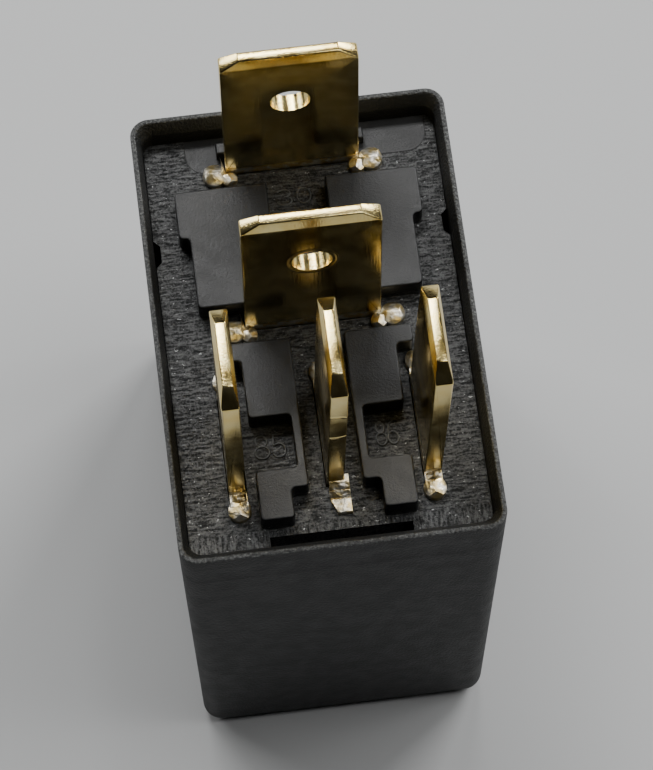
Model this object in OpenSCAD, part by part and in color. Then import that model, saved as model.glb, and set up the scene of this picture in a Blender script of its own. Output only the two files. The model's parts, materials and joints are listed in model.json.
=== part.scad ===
// Five-blade changeover relay of the ISO micro size. A moulded cover closes over a base plate that
// carries five blade terminals, and hides the coil, the armature and the changeover contacts.
// Frame: origin at the centre of the cover's closed end, +Z towards the blade tips, +Y towards
// terminal 30. The relay stands on the closed end. Sizes are in millimetres.

/* [Cover] */
// Width across the open end
cover_w = 14.9; // [14.6:0.1:15.6]
// Depth across the open end
cover_d = 22.5; // [22.2:0.1:23.6]
// Height from the closed end to the rim
cover_h = 24.2; // [24:0.1:25.6]
// Thickness of the side walls
cover_wall = 0.75; // [0.65:0.05:0.9]
// Thickness of the closed end
cover_floor = 0.9; // [0.7:0.05:1]
// How far each side leans in over the height, so that the moulding leaves its tool
cover_draft = 0.37; // [0.2:0.01:0.4]
// Radius of the upright edges
cover_corner_r = 0.9; // [0.6:0.05:1.2]
// Radius of the edges round the closed end
cover_end_r = 1; // [0.6:0.05:1.2]
// Flat land of the rim
rim_land = 0.23; // [0.15:0.01:0.3]
// Height of the slope that leads the base plate in
lead_in_h = 0.6; // [0.3:0.05:0.9]

/* [Base plate] */
// How far the plate's face lies below the rim
base_inset = 1.45; // [1.2:0.05:1.8]
// Thickness of the plate
base_t = 2; // [1.8:0.05:2.3]
// Thickness of the cover beside the plate's long edges
side_lip = 0.49; // [0.42:0.01:0.55]
// Thickness of the cover beside the plate's short edges
end_lip = 0.62; // [0.5:0.01:0.65]
// Gap between the plate and the cover
base_gap = 0.04; // [0.02:0.01:0.06]
// Radius of the plate's corners
base_corner_r = 0.5; // [0.3:0.05:0.7]
// Height of the pads over the plate's face
pad_h = 1.17; // [0.9:0.01:1.3]
// Radius of the pads' corners
pad_r = 0.25; // [0.15:0.01:0.3]
// Gap between a blade and its slot
slot_gap = 0.05; // [0.03:0.01:0.08]

/* [Pads] */
// Half width of the far part of the middle pad
mid_pad_half = 5.72; // [5.5:0.01:5.9]
// Gap between the middle pad and the front of blade 30
mid_pad_gap = 1.2; // [1:0.05:1.4]
// Length of the middle pad's wide part
mid_pad_wide_len = 2.45; // [2.2:0.05:2.8]
// How much the middle pad narrows at each side
mid_pad_step = 0.49; // [0.4:0.01:0.6]
// Half width of the number pocket in the middle pad
mid_pocket_half = 1.38; // [1.1:0.02:1.6]
// Length of the number pocket in the middle pad
mid_pocket_len = 2.6; // [2:0.1:3]
// Half width of the channel between the two coil pads
channel_half = 1.24; // [1.1:0.02:1.4]
// Outer side of the coil pads, measured from the middle
coil_pad_out = 3.58; // [3.4:0.02:3.7]
// How far the wing at the far end of a coil pad stands out
wing_w = 0.82; // [0.6:0.02:0.9]
// Length of that wing
wing_len = 0.9; // [0.6:0.05:1.2]
// Distance from the plate's near edge to the coil pads
coil_pad_edge = 1.13; // [1:0.01:1.3]
// Length of the coil pads
coil_pad_len = 8.84; // [8.6:0.02:9]
// Distance from the near end of a coil pad to its number pocket
pocket_start = 2.43; // [2.2:0.01:2.6]
// Length of the number pockets
pocket_len = 2.61; // [2.4:0.01:2.8]
// Width of the strip between a number pocket and the channel
spine_w = 0.4; // [0.3:0.02:0.5]
// Width of the toe at the near end of a coil pad
toe_w = 1.54; // [1.3:0.02:1.7]
// Length of that toe
toe_len = 1.43; // [1.2:0.01:1.6]

/* [Plate edge] */
// Half width of the notch in the near edge
notch_half = 3.27; // [2.8:0.01:3.6]
// How far that notch reaches into the plate
notch_reach = 0.73; // [0.6:0.01:0.8]
// Depth of the edge notches below the plate's face
notch_depth = 1.4; // [1:0.1:1.6]
// Length of the side notches
side_notch_len = 1.4; // [1.2:0.1:1.8]
// How far the side notches reach into the plate
side_notch_reach = 0.28; // [0.2:0.02:0.35]
// Distance from the plate's far edge to the middle of the side notches
side_notch_edge = 5.74; // [5.4:0.02:6]
// Half width of the rib behind blade 30
back_rib_half = 3.5; // [3.3:0.05:3.8]
// Height of that rib
back_rib_h = 0.6; // [0.4:0.05:0.8]
// Thickness of that rib
back_rib_t = 0.6; // [0.4:0.05:0.8]

/* [Blades] */
// Thickness of the terminal sheet
sheet_t = 0.8; // [0.75:0.01:0.82]
// Width of the wide blades 30 and 87
wide_w = 6.3; // [6:0.05:6.4]
// Width of the narrow blades 85, 86 and 87a
narrow_w = 4.8; // [4.6:0.05:4.9]
// Height of the blade tips over the plate's face
blade_h = 10.65; // [9.8:0.05:11]
// Thickness left at a blade's tip
tip_t = 0.47; // [0.4:0.01:0.55]
// Height of the slope on a blade's tip
tip_h = 0.55; // [0.4:0.05:0.8]
// Width of the cut corners at a blade's tip
tip_cut_w = 0.88; // [0.6:0.02:1]
// Height of the cut corners at a blade's tip
tip_cut_h = 0.6; // [0.4:0.02:0.9]
// Radius of the detent hole in the wide blades
detent_r = 0.93; // [0.8:0.01:1]
// Distance from the tip of a wide blade to its detent hole
detent_drop = 3.95; // [3.4:0.05:4.4]
// Distance from the plate's far edge to the front of blade 30
blade_30_edge = 1.99; // [1.8:0.01:2.2]
// Distance from blade 30 to blade 87
blade_pitch = 8.12; // [8:0.01:8.2]
// Distance between the narrow blades
narrow_pitch = 4.46; // [4.4:0.02:4.6]
// Distance from the plate's near edge to the middle of the narrow blades
narrow_edge = 5.29; // [5.1:0.01:5.5]
// Lean of blade 85 to the right
lean_85 = -0.3; // [-1:0.1:1]
// Lean of blade 87a to the right
lean_87a = 1.2; // [-1:0.1:2]
// Lean of blade 86 to the right
lean_86 = 1.7; // [-1:0.1:2]

/* [Peened lugs] */
// Radius of the outer lobe beside a wide blade
wide_lug_r = 0.56; // [0.4:0.02:0.6]
// Radius of the inner lobe in front of a wide blade
wide_toe_r = 0.38; // [0.3:0.02:0.45]
// Radius of the lugs at the ends of a narrow blade
narrow_lug_r = 0.53; // [0.45:0.01:0.6]
// How far a narrow blade's lug centre lies past its edge
narrow_lug_out = 0.8; // [0.6:0.05:0.9]
// Height of the lugs over the plate's face
lug_h = 0.52; // [0.4:0.02:0.6]
// Slope of the two facets that the peening punch strikes on a lug
lug_slope = 24; // [10:1:35]
// Width of the coined toe in front of blade 87a
coin_toe_w = 0.95; // [0.8:0.01:1.1]
// How far the coined toe reaches past the edge of blade 87a
coin_toe_len = 1.48; // [1.3:0.02:1.6]
// How far the coined toe lies to the right of blade 87a
coin_toe_shift = 0.14; // [0:0.02:0.2]
// Width of the pocket beside the lugs of the coil blades
punch_w = 0.46; // [0.3:0.02:0.5]

/* [Magnet] */
// Thickness of the yoke
yoke_t = 1.3; // [1.1:0.05:1.4]
// Width of the yoke
yoke_w = 8.8; // [8:0.1:10]
// Air gap between the yoke and the strip of terminal 87
yoke_air = 1; // [0.8:0.05:1.2]
// Radius of the core
core_r = 2.2; // [1.8:0.05:2.4]
// Radius of the core's pole face
pole_r = 3.6; // [3.2:0.1:4]
// Thickness of the core's pole face
pole_t = 0.8; // [0.6:0.05:1]
// Radius of the core's riveted spigot
spigot_r = 1.7; // [1.4:0.05:1.75]
// Radius of the winding
coil_r = 5.3; // [4.8:0.05:5.4]
// Wall of the bobbin's tube
tube_wall = 0.55; // [0.45:0.05:0.7]
// Thickness of the bobbin's flanges
flange_t = 0.8; // [0.6:0.05:0.9]
// Half width of the bobbin's flanges
flange_half = 5.6; // [5.5:0.05:5.8]
// Gap between the bobbin and the yoke's leg
coil_gap = 0.25; // [0.15:0.05:0.35]
// Thickness of the enamelled wire
wire_d = 0.22; // [0.16:0.01:0.26]

/* [Armature and contacts] */
// Thickness of the armature
armature_t = 1.1; // [0.9:0.05:1.2]
// Width of the armature
armature_w = 8.6; // [7.8:0.1:9.6]
// Angle that the armature swings through
swing = 2.6; // [2.2:0.1:3]
// Gap left between the pulled-in armature and the pole face
residual_gap = 0.04; // [0.03:0.01:0.06]
// Thickness of the contact spring
spring_t = 0.25; // [0.2:0.01:0.3]
// Width of the contact spring on the armature
spring_w = 6.4; // [5.6:0.1:7]
// Gap between the contacts and the legs of the fixed contacts
contact_leg_gap = 0.3; // [0.2:0.05:0.4]
// Gap between the lowest contact rivet and the closed end
floor_gap = 0.32; // [0.2:0.02:0.6]
// Radius of the contact faces
contact_r = 1.2; // [1:0.05:1.3]
// Radius of the dome on the moving contact
contact_dome_r = 4; // [3:0.1:6]
// Height of the moving contact's heads
contact_head_h = 0.62; // [0.5:0.02:0.7]
// Height of the fixed contacts' heads
fixed_head_h = 0.45; // [0.35:0.05:0.5]
// Gap between two contacts that touch
touch_gap = 0.02; // [0.01:0.01:0.04]
// Gap between a rivet and its hole
rivet_gap = 0.02; // [0.01:0.01:0.05]
// Width of the legs that carry the fixed contacts
leg_w = 2.2; // [1.8:0.1:2.3]
// Radius of the rivets' shanks
rivet_r = 0.7; // [0.6:0.05:0.8]
// Distance from the yoke's end to the rivets of the contact spring
spring_rivet_rise = 4.2; // [3.8:0.1:4.6]
// Distance between the rivets of the spring and those of terminal 30
rivet_pitch = 4.4; // [4:0.1:4.6]
// How far the contact spring bulges past the yoke at its bend
spring_bulge = 0.55; // [0.4:0.05:0.7]

/* [Hidden] */

$fn = 48;
eps = 0.01;
edge_fn = 32;
arc_steps = 5;

cover_black = [0.13, 0.14, 0.14];
base_black = [0.17, 0.18, 0.18];
brass_colour = [0.80, 0.66, 0.36];
steel_colour = [0.62, 0.63, 0.65];
bobbin_colour = [0.88, 0.86, 0.78];
copper_colour = [0.72, 0.38, 0.22];
bronze_colour = [0.74, 0.52, 0.30];
silver_colour = [0.82, 0.82, 0.80];

// Base plate
mouth_half_x = cover_w / 2 - side_lip;
mouth_half_y = cover_d / 2 - end_lip;
base_half_x = mouth_half_x - base_gap;
base_half_y = mouth_half_y - base_gap;
face_z = cover_h - base_inset;
base_low = face_z - base_t;
barrier_t = 0.35;
barrier_h = 1.2;
side_notch_y = base_half_y - side_notch_edge;

// Terminals
tip_z = face_z + blade_h;
blade_30_y = base_half_y - blade_30_edge;
blade_87_y = blade_30_y - blade_pitch;
narrow_y = narrow_edge - base_half_y;
seat_gap = 0.05;
shoulder_w = 0.5;
shoulder_h = sheet_t;
strip_top = base_low - seat_gap;
strip_low = strip_top - sheet_t;
detent_z = tip_z - detent_drop;
bar_h = 0.36;
pinch = 0.12;
wide_lug_at = [wide_w / 2 + wide_lug_r - eps, -sheet_t / 8];
wide_toe_at = [wide_w / 2 - wide_toe_r / 3, eps - wide_toe_r];
narrow_lug_at = narrow_w / 2 + narrow_lug_out;

// Magnet, from the base plate down
yoke_y = blade_30_y;
yoke_top = strip_low - yoke_air;
yoke_low = yoke_top - yoke_t;
flange_top_z = yoke_low;
winding_top = flange_top_z - flange_t;
coil_y = yoke_y - yoke_t - coil_gap - flange_half;
tube_r = core_r + tube_wall;
core_gap = 0.04;
spigot_head_h = 0.25;
tail_w = 1.6;
tail_y = coil_y - flange_half - 1;
tail_low = winding_top - 1.4;
post_half = 0.5;

// Legs and arms that carry the fixed contacts
leg_gap = 0.3;
leg_outer_y = -(cover_d / 2 - cover_draft - cover_wall - leg_gap);
leg_inner_y = leg_outer_y + sheet_t;
leg_side = 1.2;
arm_margin = 0.2;
fixed_shank_r = 0.75;
fixed_tail_r = 1;
fixed_tail_h = 0.25;
leg_turn_h = 2.2;
contact_y = leg_inner_y + contact_leg_gap + contact_r;

// Depth of the lowest contact rivet below the hinge. The armature and the moving contact are drawn
// pulled in and then tilted open by the swing, so the dome's centre is turned about the hinge.
dome_centre = [contact_y - yoke_y, contact_dome_r - armature_t - spring_t - contact_head_h];
open_depth = contact_dome_r - dome_centre[0] * sin(swing) - dome_centre[1] * cos(swing);
stack_depth = open_depth + touch_gap + fixed_head_h + sheet_t + fixed_tail_h;
pole_z = cover_floor + floor_gap + stack_depth + residual_gap;
hinge = [yoke_y, pole_z - residual_gap];
armature_low = hinge[1] - armature_t;
spring_low = armature_low - spring_t;
armature_heel = 0.1;
front_margin = 0.25;
armature_front = coil_y - pole_r - front_margin;

// Faces of the fixed contacts
no_face = armature_low + contact_head_h + touch_gap;
no_arm_low = no_face + fixed_head_h;
nc_face = hinge[1] - open_depth - touch_gap;
nc_arm_top = nc_face - fixed_head_h;

// The winding fills what the yoke and the pole face leave
flange_low_z = pole_z + pole_t;
winding_low = flange_low_z + flange_t;

// Rivets through the yoke
rivet_head_r = 1.1;
rivet_head_h = 0.35;
inner_head_h = 0.22;
spring_rivet_x = 2.2;
rivet_margin = 0.5;
spring_rivet_z = pole_z + spring_rivet_rise;
spring_leg_top = spring_rivet_z + rivet_head_r + rivet_margin;
terminal_rivet_x = 1.7;
terminal_rivet_z = spring_rivet_z + rivet_pitch;
tab_low = terminal_rivet_z - rivet_head_r - rivet_margin;
spring_bend_h = 1.4;
spring_bend_len = 1.9;
spring_loop_out = 2.5;
spring_loop_drop = 1.15;
spring_loop_steps = 16;
tongue_margin = 0.1;
tongue_taper = 3.2;

function unit(v) = v / norm(v);

// One rounded corner of an outline, at b between a and c
function corner(a, b, c, r) =
    let (
        u = unit(a - b),
        v = unit(c - b),
        half = acos(u * v) / 2,
        centre = b + unit(u + v) * r / sin(half),
        from = b + u * r / tan(half) - centre,
        to = b + v * r / tan(half) - centre,
        start = atan2(from[1], from[0]),
        turn = atan2(from[0] * to[1] - from[1] * to[0], from * to)
    )
    [for (i = [0 : arc_steps]) let (a = start + turn * i / arc_steps) centre + r * [cos(a), sin(a)]];

// An outline with every corner rounded
function rounded(points, r) =
    let (n = len(points))
    [for (i = [0 : n - 1]) each corner(points[(i + n - 1) % n], points[i], points[(i + 1) % n], r)];

// A strip of sheet of thickness t whose middle follows a path
function strip_outline(path, t) =
    let (
        n = len(path),
        side = [for (i = [0 : n - 1])
            let (d = unit(path[min(i + 1, n - 1)] - path[max(i - 1, 0)])) [-d[1], d[0]] * t / 2]
    )
    concat([for (i = [0 : n - 1]) path[i] + side[i]], [for (i = [n - 1 : -1 : 0]) path[i] - side[i]]);

function bezier(a, b, c, d, steps) =
    [for (i = [0 : steps])
        let (t = i / steps, s = 1 - t) s * s * s * a + 3 * s * s * t * b + 3 * s * t * t * c + t * t * t * d];

// A point in the side view, turned about the hinge from pulled in to open
function opened(p) =
    let (d = p - hinge)
    hinge + [d[0] * cos(swing) - d[1] * sin(swing), d[0] * sin(swing) + d[1] * cos(swing)];

module rounded_rect(half_x, half_y, r) {
    square([2 * half_x, 2 * (half_y - r)], center = true);
    square([2 * (half_x - r), 2 * half_y], center = true);
    for (x = [-1, 1], y = [-1, 1]) translate([x * (half_x - r), y * (half_y - r)]) circle(r);
}

// A block between two corners
module block(low, high) {
    translate(low) cube(high - low);
}

// Extrudes a side view (Y, Z) along X, about x = 0
module along_x(width) {
    rotate([90, 0, 90]) translate([0, 0, -width / 2]) linear_extrude(width) children();
}

// Extrudes a front view (X, Z) along Y, from the given Y backwards
module along_y(from_y, depth) {
    translate([0, from_y, 0]) mirror([0, 1, 0]) rotate([90, 0, 0]) linear_extrude(depth) children();
}

// Puts what is drawn pulled in where the open armature has it
module open_position() {
    translate([0, hinge[0], hinge[1]]) rotate([swing, 0, 0]) translate([0, -hinge[0], -hinge[1]]) children();
}

// A shell form between two heights that follows the cover's lean, set in from its outer face
module leaning_block(z_low, z_high, inset, corner_r, end_r) {
    shift = [for (z = [z_low, z_high]) cover_draft * (1 - z / cover_h) + inset];
    hull() {
        for (x = [-1, 1], y = [-1, 1]) {
            translate([x * (cover_w / 2 - shift[0] - corner_r), y * (cover_d / 2 - shift[0] - corner_r),
                z_low + end_r])
                rotate_extrude($fn = edge_fn) intersection() {
                    translate([corner_r - end_r, 0]) circle(end_r);
                    translate([0, -end_r]) square([corner_r, end_r]);
                }
            translate([x * (cover_w / 2 - shift[1] - corner_r), y * (cover_d / 2 - shift[1] - corner_r),
                z_high - eps])
                cylinder(r = corner_r, h = eps, $fn = edge_fn);
        }
    }
}

module cover() {
    inner_r = max(cover_corner_r - cover_wall, 0.3);
    shell_r = max(cover_corner_r, cover_end_r);
    color(cover_black) difference() {
        leaning_block(0, cover_h, 0, shell_r, cover_end_r);
        leaning_block(cover_floor, cover_h + eps, cover_wall, inner_r, inner_r);
        translate([0, 0, base_low]) linear_extrude(cover_h)
            rounded_rect(mouth_half_x, mouth_half_y, base_corner_r + base_gap, $fn = edge_fn);
        hull() {
            translate([0, 0, cover_h - lead_in_h]) linear_extrude(eps)
                rounded_rect(mouth_half_x, mouth_half_y, base_corner_r + base_gap, $fn = edge_fn);
            translate([0, 0, cover_h]) linear_extrude(eps)
                rounded_rect(cover_w / 2 - rim_land, cover_d / 2 - rim_land, cover_corner_r - rim_land,
                    $fn = edge_fn);
        }
    }
}

module mid_pad() {
    near = blade_87_y + sheet_t + slot_gap;
    far_half = mid_pad_half;
    near_half = mid_pad_half - mid_pad_step;
    far = blade_30_y - mid_pad_gap;
    step = far - mid_pad_wide_len;
    outline = [[far_half, far], [far_half, step], [near_half, step], [near_half, near]];
    mirrored = [for (i = [3 : -1 : 0]) [-outline[i][0], outline[i][1]]];
    difference() {
        polygon(rounded(concat(outline, mirrored), min(pad_r, mid_pad_step / 2 - eps)));
        translate([0, far]) rounded_rect(mid_pocket_half, mid_pocket_len, pad_r);
    }
}

module coil_pad() {
    in = channel_half;
    out = coil_pad_out;
    pocket_in = in + spine_w;
    toe_in = out - toe_w;
    near = coil_pad_edge - base_half_y;
    far = near + coil_pad_len;
    toe_far = near + toe_len;
    pocket_near = near + pocket_start;
    pocket_far = pocket_near + pocket_len;
    polygon(rounded([[in, far], [out + wing_w, far], [out + wing_w, far - wing_len], [out, far - wing_len],
        [out, pocket_far], [pocket_in, pocket_far], [pocket_in, pocket_near], [out, pocket_near], [out, near],
        [toe_in, near], [toe_in, toe_far], [in, toe_far]], min(pad_r, spine_w / 2)));
}

module blade_slots() {
    for (y = [blade_30_y, blade_87_y])
        translate([-wide_w / 2 - slot_gap, y - slot_gap])
            square([wide_w + 2 * slot_gap, sheet_t + 2 * slot_gap]);
    for (x = [-1, 0, 1])
        translate([x * narrow_pitch, narrow_y])
            square([sheet_t + 2 * slot_gap, narrow_w + 2 * slot_gap], center = true);
}

// Where the pads give way to the lugs
module lug_rooms() {
    for (y = [blade_30_y, blade_87_y], side = [-1, 1]) {
        translate([side * wide_lug_at[0], y + wide_lug_at[1]]) circle(wide_lug_r + slot_gap);
        translate([side * wide_toe_at[0], y + wide_toe_at[1]]) circle(wide_toe_r + slot_gap);
    }
    for (x = [-1, 0, 1], side = [-1, 1])
        translate([x * narrow_pitch, narrow_y + side * narrow_lug_at]) circle(narrow_lug_r + slot_gap);
}

module edge_notches() {
    translate([-notch_half, -base_half_y - eps]) square([2 * notch_half, notch_reach + eps]);
    for (side = [-1, 1]) {
        reach = side_notch_reach;
        half = side_notch_len / 2;
        translate([side * base_half_x, side_notch_y])
            polygon([[side * eps, half + eps], [-side * reach, half - reach], [-side * reach, reach - half],
                [side * eps, -half - eps]]);
    }
}

module barriers() {
    gap_85 = (narrow_pitch - sheet_t / 2 + leg_side + leg_w) / 2;
    gap_87a = (sheet_t / 2 + leg_side) / 2;
    for (x = [-gap_85, -gap_87a, narrow_pitch / 2])
        block([x - barrier_t / 2, narrow_y - narrow_w / 2, base_low - barrier_h],
            [x + barrier_t / 2, narrow_y + narrow_w / 2, base_low + eps]);
}

module base_plate() {
    color(base_black) difference() {
        union() {
            translate([0, 0, base_low]) linear_extrude(base_t)
                rounded_rect(base_half_x, base_half_y, base_corner_r);
            translate([0, 0, face_z - eps]) linear_extrude(pad_h + eps) {
                mid_pad();
                coil_pad();
                mirror([1, 0]) coil_pad();
            }
            block([-back_rib_half, blade_30_y + sheet_t + slot_gap, face_z - eps],
                [back_rib_half, blade_30_y + sheet_t + slot_gap + back_rib_t, face_z + back_rib_h]);
            barriers();
        }
        translate([0, 0, base_low - eps]) linear_extrude(cover_h) blade_slots();
        translate([0, 0, face_z]) linear_extrude(cover_h) lug_rooms();
        translate([0, 0, face_z - notch_depth]) linear_extrude(cover_h) edge_notches();
    }
}

// Front view of a blade's tip, w wide, standing on z = from
module blade_face(w, from) {
    polygon([[-w / 2, from], [w / 2, from], [w / 2, tip_z - tip_cut_h], [w / 2 - tip_cut_w, tip_z],
        [tip_cut_w - w / 2, tip_z], [-w / 2, tip_z - tip_cut_h]]);
}

// Edge view of a blade, whose upper part is shifted by lean at its tip
module blade_edge(from, lean) {
    rise = tip_z - face_z;
    slope = lean / rise;
    low_shift = max(from - face_z, 0) * slope;
    side_top = tip_z - tip_h;
    half = sheet_t / 2;
    side_shift = slope * (side_top - face_z);
    polygon([[low_shift - half, from], [low_shift + half, from], if (from < face_z) [half, face_z],
        [side_shift + half, side_top], [lean + tip_t / 2, tip_z], [lean - tip_t / 2, tip_z],
        [side_shift - half, side_top], if (from < face_z) [-half, face_z]]);
}

// A wide blade with its detent hole and its peened lugs, front face at y = 0
module wide_blade() {
    difference() {
        intersection() {
            along_y(-sheet_t, 3 * sheet_t) blade_face(wide_w, strip_low);
            along_x(2 * wide_w) translate([sheet_t / 2, 0]) blade_edge(strip_low, 0);
        }
        translate([0, -sheet_t, detent_z]) rotate([-90, 0, 0]) cylinder(r = detent_r, h = 3 * sheet_t);
    }
    for (side = [-1, 1]) {
        nub([side * wide_lug_at[0], wide_lug_at[1]], wide_lug_r, lug_h, side * 4);
        nub([side * wide_toe_at[0], wide_toe_at[1]], wide_toe_r, lug_h * 0.9, side * 70);
    }
    block([-wide_w / 2 - shoulder_w, 0, strip_low], [wide_w / 2 + shoulder_w, sheet_t, strip_top]);
}

// One nub of a lug on the plate's face: a round stub whose top the punch strikes into two facets that
// meet in a ridge, turned from X by an angle, with a third facet at its far end
module nub(at, r, h, turn) {
    low = h - r * tan(lug_slope);
    translate([at[0], at[1], face_z]) rotate([0, 0, turn]) intersection() {
        cylinder(r = r, h = h);
        along_x(2 * r) polygon([[-r, 0], [r, 0], [r, low], [0, h], [-r, low]]);
        along_y(-r, 2 * r) polygon([[-r, 0], [r, 0], [r, h / 2], [r / 2, h], [-r / 2, h], [-r, h / 2]]);
    }
}

// A narrow blade, centred on x = 0, whose tip leans to the right, with the lug at its far end
module narrow_blade(lean_angle, inner_low) {
    lean = blade_h * tan(lean_angle);
    translate([0, narrow_y, 0]) {
        intersection() {
            along_x(narrow_w) blade_face(narrow_w, inner_low);
            along_y(-narrow_w, 2 * narrow_w) blade_edge(inner_low, lean);
        }
        nub([0, narrow_lug_at], narrow_lug_r, lug_h, 90);
        block([-sheet_t / 2, narrow_w / 2 - eps, face_z],
            [sheet_t / 2, narrow_lug_at - narrow_lug_r + pinch, face_z + bar_h]);
    }
}

// The near lug of a coil blade: a bar with a punched pocket on one side, and a nub at its end
module punched_lug(side) {
    half = sheet_t / 2;
    start = narrow_y - narrow_w / 2;
    nub_y = narrow_y - narrow_lug_at;
    end = nub_y + narrow_lug_r - pinch;
    nub([0, nub_y], narrow_lug_r, lug_h, 90);
    difference() {
        block([-half, end - 2 * pinch, face_z], [half, start + eps, face_z + bar_h]);
        block([min(side * (half - pinch / 2), side * (half - punch_w)), end, face_z + pinch / 2],
            [max(side * (half - pinch / 2), side * (half - punch_w)), start - pinch / 2, face_z + 1]);
    }
}

// The near lug of blade 87a: two coined steps down to a flat toe that narrows on the left
module coined_lug() {
    half = coin_toe_w / 2;
    start = narrow_y - narrow_w / 2;
    end = start - coin_toe_len;
    step_len = 0.34;
    step_drop = 0.15;
    lip = 0.06;
    top = lug_h;
    first = start - 0.05;
    second = first - step_len;
    toe = second - step_len;
    translate([coin_toe_shift, 0, face_z]) intersection() {
        along_x(coin_toe_w) polygon([[end, 0], [end, 0.14], [end + lip, 0.2], [toe - lip, top - 2 * step_drop],
            [toe, top - 2 * step_drop - lip], [toe, top - 2 * step_drop], [second - lip / 2, top - step_drop],
            [second, top - step_drop - lip], [second, top - step_drop], [first, top], [start + 0.3, top],
            [start + 0.3, 0]]);
        linear_extrude(1) polygon([[0.3 - half, end], [half, end], [half, start + 0.3], [-half * 0.9, start + 0.3],
            [-half, toe]]);
    }
}

module shoulders() {
    block([-sheet_t / 2, narrow_y - narrow_w / 2 - shoulder_w, strip_top - shoulder_h],
        [sheet_t / 2, narrow_y + narrow_w / 2 + shoulder_w, strip_top]);
}

module terminal_30() {
    color(brass_colour) difference() {
        union() {
            translate([0, blade_30_y, 0]) wide_blade();
            block([-wide_w / 2, yoke_y, tab_low], [wide_w / 2, yoke_y + sheet_t, strip_top]);
        }
        at_terminal_rivets() cylinder(r = rivet_r + rivet_gap, h = 4 * sheet_t, center = true);
    }
}

// Plan view of the arm under or over the moving contact, with its leg on the left
module contact_arm() {
    half = contact_r + arm_margin;
    polygon([[-leg_side - leg_w, leg_outer_y], [-leg_side, leg_outer_y], [-leg_side, leg_inner_y + arm_margin],
        [half, leg_inner_y + arm_margin], [half, contact_y + half], [-leg_side - leg_w, contact_y + half]]);
}

module contact_hole(z) {
    translate([0, contact_y, z - eps]) cylinder(r = fixed_shank_r + rivet_gap, h = sheet_t + 2 * eps);
}

module terminal_87() {
    color(brass_colour) {
        translate([0, blade_87_y, 0]) wide_blade();
        block([-leg_side - leg_w, leg_outer_y, strip_low], [-leg_side, blade_87_y + eps, strip_top]);
        block([-leg_side - leg_w, leg_outer_y, no_arm_low], [-leg_side, leg_inner_y, strip_top]);
        difference() {
            translate([0, 0, no_arm_low]) linear_extrude(sheet_t) contact_arm();
            contact_hole(no_arm_low);
        }
    }
}

module terminal_87a() {
    turn_low = strip_top - leg_turn_h;
    color(brass_colour) {
        narrow_blade(lean_87a, turn_low);
        coined_lug();
        block([-sheet_t / 2, leg_outer_y, turn_low], [sheet_t / 2, narrow_y, strip_top]);
        block([-sheet_t / 2, leg_outer_y, turn_low], [leg_side + leg_w, leg_inner_y, strip_top]);
        block([leg_side, leg_outer_y, nc_arm_top - sheet_t], [leg_side + leg_w, leg_inner_y, strip_top]);
        difference() {
            translate([0, 0, nc_arm_top - sheet_t]) linear_extrude(sheet_t) mirror([1, 0]) contact_arm();
            contact_hole(nc_arm_top - sheet_t);
        }
    }
}

module coil_terminal(lean_angle, pocket_side) {
    narrow_blade(lean_angle, strip_low);
    punched_lug(pocket_side);
    shoulders();
    block([-sheet_t / 2, tail_y - tail_w / 2, tail_low], [sheet_t / 2, tail_y + tail_w / 2, strip_top]);
}

module terminal_85() {
    color(brass_colour) translate([-narrow_pitch, 0, 0]) coil_terminal(lean_85, 1);
}

module terminal_86() {
    color(brass_colour) translate([narrow_pitch, 0, 0]) coil_terminal(lean_86, -1);
}

// Puts a child's Z axis along Y at each rivet through the yoke's leg
module at_rivets(x, z) {
    for (side = [-1, 1]) translate([side * x, yoke_y, z]) rotate([-90, 0, 0]) children();
}

module at_spring_rivets() {
    at_rivets(spring_rivet_x, spring_rivet_z) children();
}

module at_terminal_rivets() {
    at_rivets(terminal_rivet_x, terminal_rivet_z) children();
}

// A rivet through the yoke and a sheet on its outer face, which lies at z = 0
module yoke_rivet(sheet) {
    translate([0, 0, -yoke_t - inner_head_h]) cylinder(r = rivet_head_r, h = inner_head_h);
    translate([0, 0, -yoke_t - eps]) cylinder(r = rivet_r, h = yoke_t + sheet + 2 * eps);
    translate([0, 0, sheet]) cylinder(r1 = rivet_head_r, r2 = rivet_head_r - rivet_head_h / 2, h = rivet_head_h);
}

module yoke() {
    bend_r = yoke_t * 0.8;
    reach = coil_y - pole_r;
    color(steel_colour) difference() {
        along_x(yoke_w) difference() {
            translate([reach, pole_z]) square([yoke_y - reach, yoke_top - pole_z]);
            translate([reach - eps, pole_z - eps])
                square([yoke_y - yoke_t - reach + eps, yoke_low - pole_z + eps]);
            translate([yoke_y - bend_r, yoke_top - bend_r]) difference() {
                square(bend_r + eps);
                circle(bend_r);
            }
        }
        translate([0, coil_y, yoke_low - eps]) cylinder(r = spigot_r + rivet_gap, h = yoke_t + 2 * eps);
        for (set = [0, 1])
            at_rivets(set == 0 ? spring_rivet_x : terminal_rivet_x, set == 0 ? spring_rivet_z : terminal_rivet_z)
                cylinder(r = rivet_r + rivet_gap, h = 3 * yoke_t, center = true);
    }
}

module core() {
    color(steel_colour) translate([0, coil_y, 0]) {
        translate([0, 0, pole_z]) cylinder(r = pole_r, h = pole_t);
        translate([0, 0, pole_z + pole_t - eps]) cylinder(r = core_r, h = yoke_low - pole_z - pole_t + eps);
        translate([0, 0, yoke_low - eps]) cylinder(r = spigot_r, h = yoke_t + 2 * eps);
        translate([0, 0, yoke_top]) cylinder(r1 = spigot_r + 0.35, r2 = spigot_r, h = spigot_head_h);
    }
}

module tail_slot(side) {
    translate([side * narrow_pitch, tail_y - coil_y])
        square([sheet_t + 2 * slot_gap, tail_w + 2 * slot_gap], center = true);
}

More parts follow.
